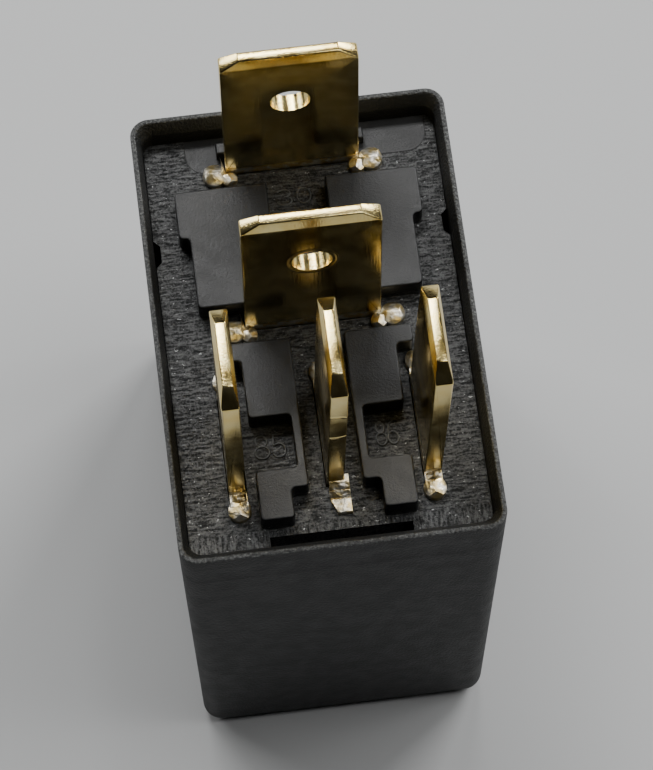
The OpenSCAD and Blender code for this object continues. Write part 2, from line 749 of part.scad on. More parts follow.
module bobbin() {
    flange_r = 1.2;
    ear_half = sheet_t / 2 + 0.75;
    ear_near = tail_y - coil_y - tail_w / 2 - 0.6;
    post_y = 2;
    color(bobbin_colour) translate([0, coil_y, 0]) {
        difference() {
            union() {
                translate([0, 0, flange_low_z]) cylinder(r = tube_r, h = flange_top_z - flange_low_z);
                translate([0, 0, flange_low_z]) linear_extrude(flange_t)
                    rounded_rect(flange_half, flange_half, flange_r);
                translate([0, 0, winding_top]) linear_extrude(flange_t) difference() {
                    union() {
                        rounded_rect(flange_half, flange_half, flange_r);
                        for (side = [-1, 1])
                            translate([side * narrow_pitch - ear_half, ear_near])
                                square([2 * ear_half, -ear_near - flange_half + 2 * flange_r]);
                    }
                    for (side = [-1, 1]) tail_slot(side);
                }
            }
            translate([0, 0, flange_low_z - eps])
                cylinder(r = core_r + core_gap, h = flange_top_z - flange_low_z + 2 * eps);
        }
        for (x = [-1, 1], y = [-1, 1])
            translate([x * (flange_half - post_half), y * post_y, winding_top + eps])
                block([-post_half, -post_half, 0], [post_half, post_half, base_low - seat_gap - winding_top - eps]);
    }
}

module coil_winding() {
    slack = 0.02;
    chamfer = wire_d;
    low = winding_low + slack;
    high = winding_top - slack;
    color(copper_colour) translate([0, coil_y, 0]) rotate_extrude()
        polygon([[tube_r + slack, low], [coil_r - chamfer, low], [coil_r, low + chamfer], [coil_r, high - chamfer],
            [coil_r - chamfer, high], [tube_r + slack, high]]);
}

// A wire end that leaves the winding, runs to a terminal's tail and is wrapped round it
module coil_lead(side) {
    turns = 3;
    wrap_low = tail_low + wire_d / 2;
    wire_z = wrap_low + turns * wire_d / 2;
    tail_x = side * narrow_pitch;
    across = unit([tail_x, tail_y - coil_y]);
    from = [0, coil_y] + across * (coil_r + wire_d / 2);
    to = [tail_x - side * (sheet_t / 2 + wire_d / 2), tail_y + tail_w / 2 + wire_d / 2];
    color(copper_colour) {
        for (i = [0 : turns - 1])
            translate([tail_x, tail_y, wrap_low + i * wire_d]) linear_extrude(wire_d) difference() {
                square([sheet_t + 2 * wire_d, tail_w + 2 * wire_d], center = true);
                square([sheet_t, tail_w], center = true);
            }
        translate([from[0], from[1], wire_z])
            rotate([90, 0, atan2(to[1] - from[1], to[0] - from[0]) + 90])
                cylinder(r = wire_d / 2, h = norm(to - from), $fn = 16);
    }
}

module coil_lead_85() {
    coil_lead(-1);
}

module coil_lead_86() {
    coil_lead(1);
}

module armature() {
    front_cut = 1.6;
    half = armature_w / 2;
    heel = yoke_y - armature_heel;
    color(steel_colour) open_position() {
        translate([0, 0, armature_low]) linear_extrude(armature_t)
            polygon([[-half, heel], [-half, armature_front + front_cut], [front_cut - half, armature_front],
                [half - front_cut, armature_front], [half, armature_front + front_cut], [half, heel]]);
        at_armature_studs() {
            translate([0, 0, -spring_t - eps]) cylinder(r = rivet_r, h = spring_t + 2 * eps);
            translate([0, 0, -spring_t - rivet_head_h]) cylinder(r = rivet_head_r - 0.2, h = rivet_head_h);
        }
    }
}

// The two studs pressed out of the armature that hold the spring
module at_armature_studs() {
    for (side = [-1, 1]) translate([side * spring_rivet_x, coil_y, armature_low]) children();
}

module contact_spring() {
    mid = armature_low - spring_t / 2;
    leg_y = yoke_y + spring_t / 2;
    leg_end = [leg_y, pole_z + spring_bend_h];
    flat_start = [yoke_y - spring_bend_len, mid];
    bulge = bezier(leg_end, leg_end + [spring_bulge, -spring_bend_h],
        opened(flat_start + [spring_loop_out, -spring_loop_drop]), opened(flat_start), spring_loop_steps);
    tongue_end = contact_y - contact_r - tongue_margin;
    tongue_half = contact_r + tongue_margin;
    studs_y = coil_y - rivet_head_r - rivet_margin;
    half = spring_w / 2;
    flat = concat([[half, studs_y], [half, flat_start[0] + eps]], [[-half, flat_start[0] + eps], [-half, studs_y]],
        [for (side = [-1, 1], far = [0, 1])
            [side * tongue_half, (side < 0) == (far == 0) ? studs_y - tongue_taper : tongue_end]]);
    color(bronze_colour) difference() {
        union() {
            along_x(spring_w) polygon(strip_outline(concat([[leg_y, spring_leg_top]], bulge), spring_t));
            open_position() translate([0, 0, spring_low]) linear_extrude(spring_t) polygon(flat);
        }
        at_spring_rivets() cylinder(r = rivet_r + rivet_gap, h = 4 * spring_t, center = true);
        open_position() {
            at_armature_studs() cylinder(r = rivet_r + rivet_gap, h = 4 * spring_t, center = true);
            translate([0, contact_y, armature_low])
                cylinder(r = fixed_shank_r + rivet_gap, h = 4 * spring_t, center = true);
        }
    }
}

// A domed head that stands on z = 0
module domed_head() {
    intersection() {
        cylinder(r = contact_r, h = contact_head_h);
        translate([0, 0, contact_head_h - contact_dome_r]) sphere(contact_dome_r);
    }
}

module moving_contact() {
    color(silver_colour) open_position() translate([0, contact_y, 0]) {
        translate([0, 0, armature_low]) domed_head();
        translate([0, 0, spring_low]) mirror([0, 0, 1]) domed_head();
        translate([0, 0, spring_low - eps]) cylinder(r = fixed_shank_r, h = spring_t + 2 * eps);
    }
}

// A contact rivet whose face looks up from the arm below it
module fixed_contact() {
    translate([0, 0, -fixed_head_h]) cylinder(r = contact_r, h = fixed_head_h);
    translate([0, 0, -fixed_head_h - sheet_t - eps]) cylinder(r = fixed_shank_r, h = sheet_t + 2 * eps);
    translate([0, 0, -fixed_head_h - sheet_t - fixed_tail_h]) cylinder(r = fixed_tail_r, h = fixed_tail_h);
}

module fixed_contact_no() {
    color(silver_colour) translate([0, contact_y, no_face]) mirror([0, 0, 1]) fixed_contact();
}

module fixed_contact_nc() {
    color(silver_colour) translate([0, contact_y, nc_face]) fixed_contact();
}

module spring_rivets() {
    color(steel_colour) at_spring_rivets() yoke_rivet(spring_t);
}

module terminal_rivets() {
    color(steel_colour) at_terminal_rivets() yoke_rivet(sheet_t);
}

cover();
base_plate();
terminal_30();
terminal_87();
terminal_87a();
terminal_85();
terminal_86();
yoke();
core();
bobbin();
coil_winding();
coil_lead_85();
coil_lead_86();
armature();
contact_spring();
moving_contact();
fixed_contact_no();
fixed_contact_nc();
spring_rivets();
terminal_rivets();
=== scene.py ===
"""Finishes for a five-blade plug-in relay: moulded cover and base plate, stamped brass blades, and
the coil, armature and contacts inside. Sizes below are in millimetres in the relay's own frame."""

import json
import math

import bmesh
import bpy
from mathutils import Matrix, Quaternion, Vector

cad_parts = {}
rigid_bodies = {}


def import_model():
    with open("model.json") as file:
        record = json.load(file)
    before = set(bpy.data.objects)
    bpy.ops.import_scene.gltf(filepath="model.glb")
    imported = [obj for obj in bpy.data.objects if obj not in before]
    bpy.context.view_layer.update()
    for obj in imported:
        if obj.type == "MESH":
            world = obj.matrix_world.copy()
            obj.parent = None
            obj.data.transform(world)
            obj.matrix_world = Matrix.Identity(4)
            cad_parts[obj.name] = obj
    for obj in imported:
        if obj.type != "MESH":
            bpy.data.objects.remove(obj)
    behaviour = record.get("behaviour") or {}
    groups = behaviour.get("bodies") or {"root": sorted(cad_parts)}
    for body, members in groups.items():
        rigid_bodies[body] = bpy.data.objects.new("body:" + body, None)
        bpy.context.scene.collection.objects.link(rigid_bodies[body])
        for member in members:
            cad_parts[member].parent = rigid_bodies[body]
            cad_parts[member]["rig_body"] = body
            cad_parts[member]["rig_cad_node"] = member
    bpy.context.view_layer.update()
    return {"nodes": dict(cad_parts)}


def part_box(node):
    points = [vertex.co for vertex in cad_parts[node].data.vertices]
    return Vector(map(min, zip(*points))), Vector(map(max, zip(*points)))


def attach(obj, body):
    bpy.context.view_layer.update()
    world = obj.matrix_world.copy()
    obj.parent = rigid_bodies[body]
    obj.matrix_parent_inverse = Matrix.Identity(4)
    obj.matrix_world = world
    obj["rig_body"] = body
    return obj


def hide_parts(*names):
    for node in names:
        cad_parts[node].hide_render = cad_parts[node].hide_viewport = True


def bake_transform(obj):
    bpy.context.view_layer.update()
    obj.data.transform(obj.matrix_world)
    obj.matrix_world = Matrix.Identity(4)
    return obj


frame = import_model()
MM = 0.001

# Sizes of the moulding that the finish follows
RIM_LAND = 0.23
LEAD_IN = 0.6
DRAFT = 0.37
WALL = 0.75
FLOOR = 0.9
CORNER_R = 0.9
END_R = 1.0
BASE_T = 2.0
PAD_H = 1.17
SHEET_T = 0.8
WIDE_W = 6.3
NARROW_W = 4.8


def mm(point):
    """A point in millimetres, as a vector in metres."""
    return Vector(point) * MM


def node_box(name):
    """Lowest and highest corner of a CAD node, in millimetres."""
    low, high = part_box(name)
    return low / MM, high / MM


cover_low, cover_high = node_box("cover")
plate_low, plate_high = node_box("base_plate")
FACE_Z = plate_high.z - PAD_H
TIP_Z = node_box("terminal_30")[1].z
DETENT_Z = TIP_Z - 3.95


# ---------------------------------------------------------------------------------------- materials

def linear(code):
    """An sRGB colour such as "#d9b25f", as linear RGBA."""
    parts = [int(code[i:i + 2], 16) / 255 for i in (1, 3, 5)]
    return [p / 12.92 if p <= 0.04045 else ((p + 0.055) / 1.055) ** 2.4 for p in parts] + [1.0]


def add(tree, kind, settings=None, links=None):
    """Adds a shader node. Settings are its own properties or its sockets' values, and links are what
    feeds its sockets."""
    made = tree.nodes.new("ShaderNode" + kind)
    for key, value in (settings or {}).items():
        if isinstance(key, str) and hasattr(made, key):
            setattr(made, key, value)
        else:
            made.inputs[key].default_value = value
    for key, socket in (links or {}).items():
        tree.links.new(socket, made.inputs[key])
    return made


def new_material(name):
    """An empty material with its Principled shader, and the object's coordinates in millimetres."""
    made = bpy.data.materials.new(name)
    made.use_nodes = True
    tree = made.node_tree
    tree.nodes.clear()
    shader = add(tree, "BsdfPrincipled")
    out = add(tree, "OutputMaterial", None, {"Surface": shader.outputs[0]})
    out.location = (300, 0)
    place = add(tree, "TexCoord")
    scaled = add(tree, "VectorMath", {"operation": "SCALE", "Scale": 1 / MM}, {0: place.outputs["Object"]})
    return made, tree, shader, scaled.outputs[0]


def noise(tree, at, size, detail=2.0, roughness=0.5, stretch=(1, 1, 1), distortion=0.0):
    """Noise whose grains are about `size` millimetres, drawn out by `stretch`. Gives 0 to 1."""
    placed = add(tree, "Mapping", {"Scale": tuple(1 / (size * s) for s in stretch)}, {"Vector": at})
    made = add(tree, "TexNoise", {"Scale": 1.0, "Detail": detail, "Roughness": roughness,
                                  "Distortion": distortion}, {"Vector": placed.outputs[0]})
    return made.outputs["Fac"]


def spread(tree, value, low, high, to_low=0.0, to_high=1.0, smooth=True):
    """Carries a value from low..high to to_low..to_high, and holds it at the ends."""
    made = add(tree, "MapRange", {"interpolation_type": "SMOOTHSTEP" if smooth else "LINEAR", "From Min": low,
                                  "From Max": high, "To Min": to_low, "To Max": to_high}, {"Value": value})
    return made.outputs[0]


def math_node(tree, how, a, b):
    """Two values joined by a Math node; either may be a number."""
    made = add(tree, "Math", {"operation": how})
    for i, part in enumerate((a, b)):
        if isinstance(part, (int, float)):
            made.inputs[i].default_value = part
        else:
            tree.links.new(part, made.inputs[i])
    return made.outputs[0]


def blend_colours(tree, share, a, b):
    """Colour a where share is 0 and b where it is 1; each is a hex code or a socket."""
    made = add(tree, "Mix", {"data_type": "RGBA"}, {0: share})
    for i, part in ((6, a), (7, b)):
        if isinstance(part, str):
            made.inputs[i].default_value = linear(part)
        else:
            tree.links.new(part, made.inputs[i])
    return made.outputs[2]


def bump(tree, height, depth, under=None):
    """Bump of `depth` millimetres from a 0 to 1 height."""
    made = add(tree, "Bump", {"Strength": 1.0, "Distance": depth * MM}, {"Height": height})
    if under is not None:
        tree.links.new(under, made.inputs["Normal"])
    return made.outputs[0]


def distance_to_box(tree, at, low, high, radius):
    """Distance in millimetres, in plan, to a box with rounded corners: below 0 inside it."""
    centre = [(a + b) / 2 for a, b in zip(low, high)] + [0.0]
    half = [(b - a) / 2 - radius for a, b in zip(low, high)] + [0.0]
    flat = add(tree, "VectorMath", {"operation": "MULTIPLY", 1: (1, 1, 0)}, {0: at})
    moved = add(tree, "VectorMath", {"operation": "SUBTRACT", 1: tuple(centre)}, {0: flat.outputs[0]})
    folded = add(tree, "VectorMath", {"operation": "ABSOLUTE"}, {0: moved.outputs[0]})
    past = add(tree, "VectorMath", {"operation": "SUBTRACT", 1: tuple(half)}, {0: folded.outputs[0]})
    outside = add(tree, "VectorMath", {"operation": "MAXIMUM", 1: (0, 0, 0)}, {0: past.outputs[0]})
    length = add(tree, "VectorMath", {"operation": "LENGTH"}, {0: outside.outputs[0]})
    return math_node(tree, "SUBTRACT", length.outputs["Value"], radius)


def moulded_cover():
    """Glass-filled polyester moulded in a spark-eroded tool: matt, nearly black, with a faint sink behind
    the rim, and a rim land that is rubbed smoother and carries a mottled painted highlight."""
    made, tree, shader, at = new_material("moulded_polyester_cover")
    axes = add(tree, "SeparateXYZ", None, {0: at})
    cloud = noise(tree, at, 4.0, 3.0)
    plain = blend_colours(tree, spread(tree, cloud, 0.3, 0.7), "#121313", "#161717")
    # Painted highlight: the rim's top land is painted a mottled lighter grey, and it is also rubbed smoother
    rim = spread(tree, axes.outputs[2], cover_high.z - 0.07, cover_high.z - 0.02)
    mottle = noise(tree, at, 0.13, 4.0, 0.75)
    rim_highlight = math_node(tree, "MULTIPLY", rim, spread(tree, mottle, 0.42, 0.72))
    # A speck of dirt on the near wall
    speck = add(tree, "VectorMath", {"operation": "DISTANCE", 1: (3.47, -11.2, 21.5)}, {0: at})
    dirt = spread(tree, speck.outputs["Value"], 0.06, 0.13, 1, 0)
    colour = blend_colours(tree, rim_highlight, plain, "#5a5c5a")
    tree.links.new(blend_colours(tree, dirt, colour, "#020202"), shader.inputs["Base Color"])
    rough = spread(tree, noise(tree, at, 0.9, 3.0), 0.2, 0.8, 0.5, 0.62)
    polished = math_node(tree, "MULTIPLY", rim, -0.14)
    tree.links.new(math_node(tree, "ADD", rough, polished), shader.inputs["Roughness"])
    # The tool's spark-eroded grain is near 0.03 mm and is drawn at 0.12 mm, so that it shows
    grain = bump(tree, noise(tree, at, 0.12, 3.0), 0.06)
    # Faint level sinks where the wall changes thickness behind the rim
    low = math_node(tree, "SUBTRACT", axes.outputs[2], 22.3)
    wave = math_node(tree, "MULTIPLY", low, low)
    sink = bump(tree, spread(tree, wave, 0.0, 0.8), 0.03, grain)
    tree.links.new(sink, shader.inputs["Normal"])
    shader.inputs["IOR"].default_value = 1.5
    shader.inputs["Specular IOR Level"].default_value = 0.4
    return made


def moulded_base():
    """Glass-filled polyester again, but its face comes from a ground and spark-eroded steel insert: fine
    drawn-out streaks with painted glints in light grey flecks, smoother satin pads, and a smooth land behind blade
    30."""
    made, tree, shader, at = new_material("moulded_polyester_base")
    axes = add(tree, "SeparateXYZ", None, {0: at})
    on_pad = spread(tree, axes.outputs[2], FACE_Z + 0.25, FACE_Z + 0.7)
    near_strip = spread(tree, axes.outputs[1], -9.3, -9.7)
    land = distance_to_box(tree, at, (-5.0, 8.75), (6.5, 13.0), 1.0)
    on_land = spread(tree, land, -0.06, 0.0, 1, 0)
    smooth_part = math_node(tree, "MAXIMUM", on_pad, on_land)
    # The grinding lines are near 0.03 mm wide and are drawn 0.13 mm wide, so that they show
    across = noise(tree, at, 0.13, 3.0, 0.65, (5.0, 1, 1))
    along = noise(tree, at, 0.13, 3.0, 0.65, (1, 5.0, 1))
    streaks = add(tree, "Mix", {"data_type": "FLOAT"}, {0: near_strip, 2: across, 3: along}).outputs[0]
    grit = noise(tree, at, 0.11, 3.0, 0.7)
    marks = math_node(tree, "ADD", math_node(tree, "MULTIPLY", streaks, 0.6), math_node(tree, "MULTIPLY", grit, 0.4))
    field = blend_colours(tree, spread(tree, marks, 0.38, 0.62), "#0c0d0d", "#262827")
    # Painted glints: small flecks of the field are painted light grey, and they also get more specular further down
    glint_fleck = spread(tree, noise(tree, at, 0.17, 2.0, 0.7, (1.5, 1, 1)), 0.66, 0.74)
    field = blend_colours(tree, glint_fleck, field, "#6c6f6d")
    pads = blend_colours(tree, spread(tree, noise(tree, at, 1.4, 4.0), 0.3, 0.7), "#121313", "#191a1a")
    tone = blend_colours(tree, smooth_part, field, pads)
    # The insert's outline, faint, on the right of that land only
    line = spread(tree, math_node(tree, "ABSOLUTE", land, 0.0), 0.02, 0.08, 0.6, 0)
    right = spread(tree, axes.outputs[0], 3.0, 4.0)
    edge = math_node(tree, "MULTIPLY", math_node(tree, "MULTIPLY", line, right),
                     math_node(tree, "SUBTRACT", 1.0, on_pad))
    tree.links.new(blend_colours(tree, edge, tone, "#050505"), shader.inputs["Base Color"])
    rough_field = spread(tree, marks, 0.35, 0.65, 0.46, 0.3)
    rough_pad = spread(tree, noise(tree, at, 0.7, 4.0), 0.3, 0.7, 0.34, 0.42)
    rough = add(tree, "Mix", {"data_type": "FLOAT"}, {0: smooth_part, 2: rough_field, 3: rough_pad}).outputs[0]
    tree.links.new(rough, shader.inputs["Roughness"])
    rough_part = math_node(tree, "SUBTRACT", 1.0, smooth_part)
    relief = math_node(tree, "ADD", math_node(tree, "MULTIPLY", marks, rough_part),
                       math_node(tree, "MULTIPLY", grit, 0.6))
    tree.links.new(bump(tree, relief, 0.04), shader.inputs["Normal"])
    # The streaks' flanks hide each other, so that the rough face is duller in its dark grains
    shine = spread(tree, marks, 0.4, 0.62, 0.15, 0.75)
    shine = math_node(tree, "ADD", shine, math_node(tree, "MULTIPLY", glint_fleck, 1.5))
    level = add(tree, "Mix", {"data_type": "FLOAT", 3: 0.42}, {0: smooth_part, 2: shine}).outputs[0]
    tree.links.new(level, shader.inputs["Specular IOR Level"])
    shader.inputs["IOR"].default_value = 1.5
    return made


def rolled_brass():
    """Bright cold-rolled brass sheet: a warm yellow metal with faint rolling lines. The peened lugs at the
    blades' feet are duller where the punch spread them and are painted a paler, near-white brass as a
    painted highlight, and the detent hole of blade 87 has a faint coined ring round it."""
    made, tree, shader, at = new_material("rolled_brass_sheet")
    shader.inputs["Metallic"].default_value = 1.0
    axes = add(tree, "SeparateXYZ", None, {0: at})
    patches = noise(tree, at, 0.8, 3.0)
    rolled = blend_colours(tree, spread(tree, patches, 0.3, 0.7), "#dcc27a", "#e8d698")
    at_foot = math_node(tree, "MULTIPLY", spread(tree, axes.outputs[2], FACE_Z + 0.5, FACE_Z + 0.7, 1, 0),
                        spread(tree, axes.outputs[2], FACE_Z - 0.2, FACE_Z))
    # Painted highlight: the lugs at the foot are painted a paler, near-white brass
    lug_highlight_colour = blend_colours(tree, spread(tree, noise(tree, at, 0.4, 2.0), 0.35, 0.65), "#e0c98c", "#f0ebdc")
    tree.links.new(blend_colours(tree, at_foot, rolled, lug_highlight_colour), shader.inputs["Base Color"])
    gloss = spread(tree, patches, 0.2, 0.8, 0.14, 0.24)
    rough = add(tree, "Mix", {"data_type": "FLOAT", 3: 0.36}, {0: at_foot, 2: gloss}).outputs[0]
    tree.links.new(rough, shader.inputs["Roughness"])
    lines = bump(tree, noise(tree, at, 0.09, 2.0, 0.5, (1, 1, 14)), 0.006)
    hammered = math_node(tree, "MULTIPLY", noise(tree, at, 0.3, 2.0), at_foot)
    dents = bump(tree, hammered, 0.06, lines)
    hole = add(tree, "VectorMath", {"operation": "MULTIPLY_ADD", 1: (1, 0, 1), 2: (0, 0, -DETENT_Z)}, {0: at})
    reach = add(tree, "VectorMath", {"operation": "LENGTH"}, {0: hole.outputs[0]})
    off = math_node(tree, "ABSOLUTE", math_node(tree, "SUBTRACT", reach.outputs["Value"], 1.15), 0.0)
    on_87 = spread(tree, axes.outputs[1], 4.0, 5.0, 1, 0)
    ring = math_node(tree, "MULTIPLY", spread(tree, off, 0.0, 0.12, 1, 0), on_87)
    tree.links.new(bump(tree, ring, 0.02, dents), shader.inputs["Normal"])
    return made


def plain_metal(name, low, high, rough_low, rough_high, grain=0.25, depth=0.004, stretch=(1, 1, 1)):
    """A metal whose colour and gloss wander between two values, over a fine grain."""
    made, tree, shader, at = new_material(name)
    shader.inputs["Metallic"].default_value = 1.0
    cloud = noise(tree, at, 1.6, 3.0)
    tree.links.new(blend_colours(tree, spread(tree, cloud, 0.3, 0.7), low, high), shader.inputs["Base Color"])
    tree.links.new(spread(tree, noise(tree, at, 0.6, 3.0), 0.25, 0.75, rough_low, rough_high),
                   shader.inputs["Roughness"])
    tree.links.new(bump(tree, noise(tree, at, grain, 3.0, 0.6, stretch), depth), shader.inputs["Normal"])
    return made


def plain_plastic(name, low, high, rough_low, rough_high):
    """A moulded plastic with a fine grain, whose colour and gloss wander a little."""
    made, tree, shader, at = new_material(name)
    cloud = noise(tree, at, 1.8, 3.0)
    tree.links.new(blend_colours(tree, spread(tree, cloud, 0.3, 0.7), low, high), shader.inputs["Base Color"])
    tree.links.new(spread(tree, noise(tree, at, 0.7, 3.0), 0.25, 0.75, rough_low, rough_high),
                   shader.inputs["Roughness"])
    tree.links.new(bump(tree, noise(tree, at, 0.12, 3.0), 0.006), shader.inputs["Normal"])
    shader.inputs["IOR"].default_value = 1.53
    return made


cover_finish = moulded_cover()
base_finish = moulded_base()
# The raised figures are painted a lighter grey than the plate: a painted highlight on their crests
figure_highlight_finish = plain_plastic("figure_crests_painted_highlight", "#3a3c3b", "#4a4c4b", 0.28, 0.36)
brass = rolled_brass()


# ------------------------------------------------------------------------------------------- pieces

def choose(piece):
    """Makes a piece the only one chosen."""
    bpy.ops.object.select_all(action="DESELECT")
    piece.select_set(True)
    bpy.context.view_layer.objects.active = piece


def pick(piece, kind, wanted):
    """In edit mode, picks the vertices, edges or faces of a kind that pass a test, and nothing else."""
    bpy.ops.mesh.select_mode(type=kind)
    bpy.ops.mesh.select_all(action="DESELECT")
    work = bmesh.from_edit_mesh(piece.data)
    for part in {"VERT": work.verts, "EDGE": work.edges, "FACE": work.faces}[kind]:
        if wanted(part):
            part.select_set(True)
    bmesh.update_edit_mesh(piece.data)


def settle(piece):
    """Puts a piece's place into its mesh."""
    choose(piece)
    bpy.ops.object.transform_apply(location=True, rotation=True, scale=True)


def in_edit(piece):
    choose(piece)
    bpy.ops.object.mode_set(mode="EDIT")


def out_of_edit():
    bpy.ops.object.mode_set(mode="OBJECT")


def shade(piece, angle=20):
    """Smooth shading up to an angle, so that flat faces stay flat and round ones round."""
    choose(piece)
    bpy.ops.object.shade_smooth_by_angle(angle=math.radians(angle))


def sharp(edge, angle=35):
    """Whether two faces meet at an edge at more than an angle."""
    return len(edge.link_faces) == 2 and edge.calc_face_angle(0) > math.radians(angle)


def soften(piece, width, segments=2, where=lambda edge: True, angle=35, clamp=False):
    """Rounds a piece's sharp edges that pass a test."""
    in_edit(piece)
    pick(piece, "EDGE", lambda e: sharp(e, angle) and where(e))
    bpy.ops.mesh.bevel(offset=width * MM, segments=segments, profile=0.5, clamp_overlap=clamp)
    out_of_edit()


def copy_of(node, name, keep=lambda face: False):
    """A clean copy of a CAD node: its triangles joined up, and made into whole flat faces except where a
    face has holes in it."""
    source = frame["nodes"][node]
    piece = source.copy()
    piece.data = source.data.copy()
    piece.name = name
    piece.parent = None
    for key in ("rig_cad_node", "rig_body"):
        if key in piece:
            del piece[key]
    bpy.context.scene.collection.objects.link(piece)
    piece.data.materials.clear()
    in_edit(piece)
    bpy.ops.mesh.select_all(action="SELECT")
    bpy.ops.mesh.remove_doubles(threshold=0.002 * MM)
    pick(piece, "FACE", lambda f: not keep(f))
    bpy.ops.mesh.dissolve_limited(angle_limit=math.radians(0.8))
    out_of_edit()
    if piece.data.has_custom_normals:
        bpy.ops.mesh.customdata_custom_splitnormals_clear()
    return piece


def dress(piece, body, slot, material, *nodes):
    """Gives a finished piece its body and its material, and hides the CAD nodes it stands for. The slot is not used.
    """
    piece.data.materials.clear()
    piece.data.materials.append(material)
    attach(piece, body)
    if nodes:
        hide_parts(*nodes)
    return piece


def make_cover():
    """The open box of the cover: leaning walls, rounded upright edges and closed end, and a rim that
    slopes in to the mouth round the base plate."""
    half = cover_high.x, cover_high.y
    height = cover_high.z
    bpy.ops.object.select_all(action="DESELECT")
    bpy.ops.mesh.primitive_cube_add(size=1, location=(0, 0, height / 2 * MM))
    piece = bpy.context.active_object
    piece.name = "cover_moulding"
    piece.scale = (2 * half[0] * MM, 2 * half[1] * MM, height * MM)
    settle(piece)
    bpy.ops.object.mode_set(mode="EDIT")
    pick(piece, "FACE", lambda f: f.normal.z < -0.9)
    bpy.ops.transform.resize(value=((half[0] - DRAFT) / half[0], (half[1] - DRAFT) / half[1], 1),
                             center_override=(0, 0, 0))
    pick(piece, "EDGE", lambda e: abs(e.verts[0].co.z - e.verts[1].co.z) > 10 * MM)
    bpy.ops.mesh.bevel(offset=CORNER_R * MM, segments=10, profile=0.5)
    # The rim's flat land, the slope that leads the plate in, the mouth, the ledge and the hollow
    mouth = plate_high.x + 0.04, plate_high.y + 0.04
    pick(piece, "FACE", lambda f: f.normal.z > 0.9)
    bpy.ops.mesh.inset(thickness=RIM_LAND * MM, use_even_offset=True)
    land = half[0] - RIM_LAND, half[1] - RIM_LAND

    def down(depth, before, after):
        bpy.ops.mesh.extrude_region_move(TRANSFORM_OT_translate={"value": (0, 0, -depth * MM)})
        bpy.ops.transform.resize(value=(after[0] / before[0], after[1] / before[1], 1),
                                 center_override=(0, 0, 0))

    down(LEAD_IN, land, mouth)
    ledge_z = FACE_Z - BASE_T
    down(height - LEAD_IN - ledge_z, mouth, mouth)
    lean = DRAFT * (1 - ledge_z / height)
    inner = half[0] - lean - WALL, half[1] - lean - WALL
    down(0, mouth, inner)
    low_lean = DRAFT * (1 - FLOOR / height)
    down(ledge_z - FLOOR, inner, (half[0] - low_lean - WALL, half[1] - low_lean - WALL))
    pick(piece, "FACE", lambda f: f.normal.z < -0.9)
    bpy.ops.mesh.region_to_loop()
    bpy.ops.mesh.bevel(offset=END_R * MM, segments=8, profile=0.5)
    bpy.ops.object.mode_set(mode="OBJECT")
    soften(piece, 0.045, 2, lambda e: min(v.co.z for v in e.verts) / MM > height - LEAD_IN - 0.1, 15)
    shade(piece, 30)
    return dress(piece, "relay", "cover_plastic", cover_finish, "cover")


def height_of(edge):
    """Height of a level edge in millimetres, or None."""
    a, b = (v.co.z / MM for v in edge.verts)
    return a if abs(a - b) < 0.01 else None


def make_base_plate():
    """The plate with its pads, whose top edges are moulded with a small round."""
    level = (FACE_Z, FACE_Z - BASE_T)
    piece = copy_of("base_plate", "base_moulding", lambda f: abs(f.normal.z) > 0.99 and any(
        abs(f.calc_center_median().z / MM - z) < 0.02 for z in level))

    def on_top(edge):
        z = height_of(edge)
        return z is not None and z > FACE_Z + 0.3

    soften(piece, 0.08, 3, on_top)
    shade(piece, 12)
    return dress(piece, "relay", "base_plastic", base_finish, "base_plate")


def heights(edge):
    """Lowest and highest point of an edge, in millimetres."""
    return sorted(v.co.z / MM for v in edge.verts)


def make_terminal(node):
    """A terminal: a stamped blade whose edges are rolled over, with crisp peened lugs at its foot."""
    piece = copy_of(node, node.replace("terminal", "blade"),
                    lambda f: abs(f.normal.y) > 0.99 and f.calc_center_median().z > plate_high.z * MM
                    and node in ("terminal_30", "terminal_87"))

    def outline(edge):
        low, high = heights(edge)
        return low > TIP_Z - 2.3 or high > FACE_Z + 5 and high - low > 3

    def lug(edge):
        low, high = heights(edge)
        return low > FACE_Z + 0.04 and high < FACE_Z + 0.6

    soften(piece, 0.07, 3, outline, 15)
    soften(piece, 0.02, 2, lug, 12)
    shade(piece)
    return dress(piece, "relay", "terminal_brass", brass, node)


make_cover()
make_base_plate()
for number in ("30", "87", "87a", "85", "86"):
    make_terminal("terminal_" + number)


# ------------------------------------------------------------------------------------ raised numbers

def oval(cx, cy, rx, ry, start=0, turn=360, steps=20):
    """Points round an oval, from an angle and through a turn, in degrees."""
    return [(cx + rx * math.cos(math.radians(start + turn * i / steps)),
             cy + ry * math.sin(math.radians(start + turn * i / steps))) for i in range(steps + 1)]


DIGITS = {
    "8": [oval(0.5, 0.76, 0.36, 0.24), oval(0.5, 0.27, 0.47, 0.27)],
    "5": [[(0.86, 1.0), (0.2, 1.0), (0.14, 0.56)] + oval(0.46, 0.3, 0.44, 0.3, 128, -280, 16)],
    "6": [[(0.72, 1.02)] + oval(0.62, 0.3, 0.55, 0.7, 115, 62, 6), oval(0.5, 0.28, 0.44, 0.28)],
    "3": [oval(0.42, 0.76, 0.4, 0.24, 150, -235, 12), oval(0.42, 0.27, 0.46, 0.27, 75, -240, 12)],
    "0": [oval(0.5, 0.5, 0.42, 0.5)],
}


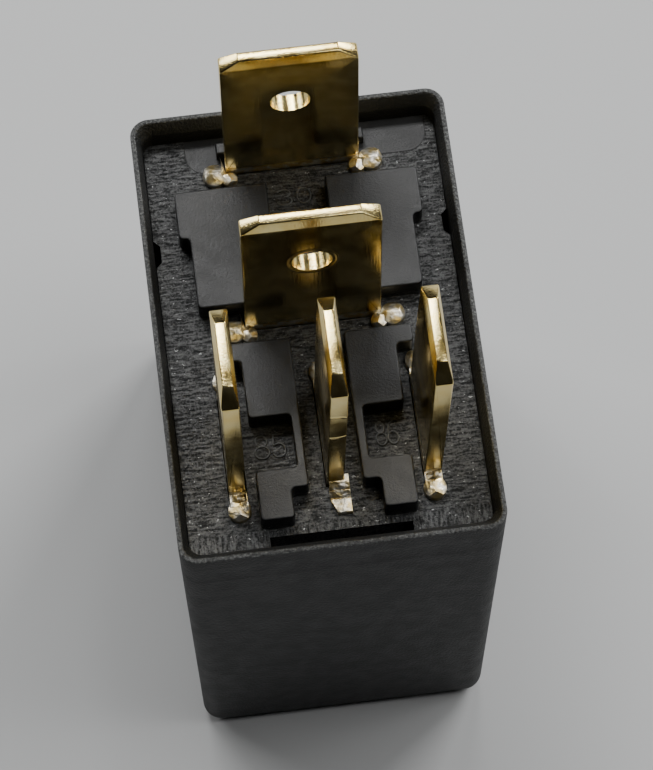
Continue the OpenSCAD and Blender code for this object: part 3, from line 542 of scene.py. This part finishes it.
def make_number(name, text, low_left, width, height, gap, lean=0.0, wire=0.05):
    """Raised figures as thin round ridges, standing half out of the plate's face."""
    bpy.ops.object.select_all(action="DESELECT")
    data = bpy.data.curves.new(name, "CURVE")
    data.dimensions = "3D"
    data.bevel_depth = wire * MM
    data.bevel_resolution = 2
    data.use_fill_caps = True
    for place, digit in enumerate(text):
        for line in DIGITS[digit]:
            spline = data.splines.new("POLY")
            spline.points.add(len(line) - 1)
            for point, (u, v) in zip(spline.points, line):
                x = low_left[0] + place * (width + gap) + u * width + lean * v * height
                point.co = (x * MM, (low_left[1] + v * height) * MM, (FACE_Z + 0.02) * MM, 1)
    piece = bpy.data.objects.new(name, data)
    bpy.context.scene.collection.objects.link(piece)
    choose(piece)
    bpy.ops.object.convert(target="MESH")
    bpy.ops.object.shade_smooth()
    return dress(piece, "relay", "base_plastic", figure_highlight_finish)


make_number("number_85", "85", (-3.48, -6.02), 0.72, 1.12, 0.08)
make_number("number_86", "86", (2.14, -6.03), 0.52, 1.12, 0.02, -0.05)
make_number("number_30", "30", (-0.92, 6.66), 0.78, 0.8, 0.1, 0, 0.04)


# ---------------------------------------------------------------------------- nodes kept as they are

def finish_nodes(material, *nodes):
    for name in nodes:
        piece = frame["nodes"][name]
        piece.data.materials.clear()
        piece.data.materials.append(material)


finish_nodes(plain_metal("zinc_plated_soft_iron", "#9a9c9e", "#b9babb", 0.28, 0.42), "yoke", "core", "armature")
bronze = plain_metal("bronze_spring_strip", "#b98a52", "#c99c66", 0.22, 0.34, 0.2, 0.002, (8, 1, 1))
finish_nodes(plain_metal("silver_contact_rivets", "#d6d4cd", "#e6e4df", 0.2, 0.34), "moving_contact",
             "fixed_contact_no", "fixed_contact_nc")
finish_nodes(plain_metal("plated_steel_rivets", "#8f9193", "#b4b5b6", 0.25, 0.4), "spring_rivets",
             "terminal_rivets")
finish_nodes(plain_metal("enamelled_copper_wire", "#a4502a", "#b8643a", 0.25, 0.35, 0.2, 0.01), "coil_winding",
             "coil_lead_85", "coil_lead_86")
finish_nodes(plain_plastic("natural_nylon_bobbin", "#d6d0bc", "#e0dac9", 0.38, 0.5), "bobbin")


def make_contact_spring():
    """The bronze strip, whose leg is on the yoke and whose arm on the armature, with a loop between
    them: a copy of the CAD node with the bronze finish, shown in its place."""
    piece = copy_of("contact_spring", "contact_spring_strip")
    shade(piece)
    piece.data.materials.append(bronze)
    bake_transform(piece)
    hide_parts("contact_spring")


make_contact_spring()


# ---------------------------------------------------------------------------------- floor and light

def make_floor():
    """A plain pale sweep: a floor that the relay stands on."""
    bpy.ops.object.select_all(action="DESELECT")
    bpy.ops.mesh.primitive_plane_add(size=3.0, location=(0, 0, 0))
    floor = bpy.context.active_object
    floor.name = "floor"
    made, tree, shader, at = new_material("pale_matt_floor")
    shader.inputs["Base Color"].default_value = linear("#bcbdbd")
    shader.inputs["Roughness"].default_value = 0.85
    floor.data.materials.append(made)


def area_light(name, place, aim, width, height, power, colour="#ffffff"):
    data = bpy.data.lights.new(name, "AREA")
    data.shape = "RECTANGLE"
    data.size = width
    data.size_y = height
    data.energy = power
    data.color = linear(colour)[:3]
    light = bpy.data.objects.new(name, data)
    light.location = place
    light.rotation_mode = "QUATERNION"
    light.rotation_quaternion = (Vector(aim) - Vector(place)).to_track_quat("-Z", "Y")
    bpy.context.scene.collection.objects.link(light)


def at_angle(azimuth, elevation, reach=0.7):
    """A place `reach` metres from the relay: azimuth 0 is behind it (+Y) and 90 is to its right (+X)."""
    a, e = math.radians(azimuth), math.radians(elevation)
    return Vector((math.sin(a) * math.cos(e), math.cos(a) * math.cos(e), math.sin(e))) * reach


MIDDLE = mm((0, 0, 20))
make_floor()
area_light("window_behind", at_angle(-8, 60), MIDDLE, 0.36, 0.12, 2.1)
area_light("soft_left_of_window", at_angle(-20, 58), MIDDLE, 0.2, 0.16, 0.6)
area_light("soft_right_behind", at_angle(45, 25), MIDDLE, 0.3, 0.3, 4.2)
area_light("soft_left_behind", at_angle(-45, 25), MIDDLE, 0.3, 0.3, 2.2)
area_light("soft_right_high", at_angle(90, 70), MIDDLE, 0.3, 0.3, 1.2)
area_light("soft_right", at_angle(90, 45), MIDDLE, 0.3, 0.3, 0.9)
world = bpy.data.worlds.new("studio")
world.use_nodes = True
world.node_tree.nodes["Background"].inputs["Color"].default_value = linear("#d4d6d8")
world.node_tree.nodes["Background"].inputs["Strength"].default_value = 0.02
bpy.context.scene.world = world

# ------------------------------------------------------------------------------------------- camera

CAMERA_AT = (-7.22, -68.25, 175.48)
CAMERA_AIM = (0.10, -3.69, 25.0)
CAMERA_ROLL = -0.743
lens = bpy.data.cameras.new("camera")
lens.sensor_width = 36
lens.lens = 168.9
lens.clip_start = 0.01
lens.clip_end = 10
camera = bpy.data.objects.new("camera", lens)
camera.location = mm(CAMERA_AT)
camera.rotation_mode = "QUATERNION"
look = (mm(CAMERA_AIM) - mm(CAMERA_AT)).to_track_quat("-Z", "Y")
camera.rotation_quaternion = look @ Quaternion((0, 0, 1), math.radians(CAMERA_ROLL))
bpy.context.scene.collection.objects.link(camera)
bpy.context.scene.camera = camera
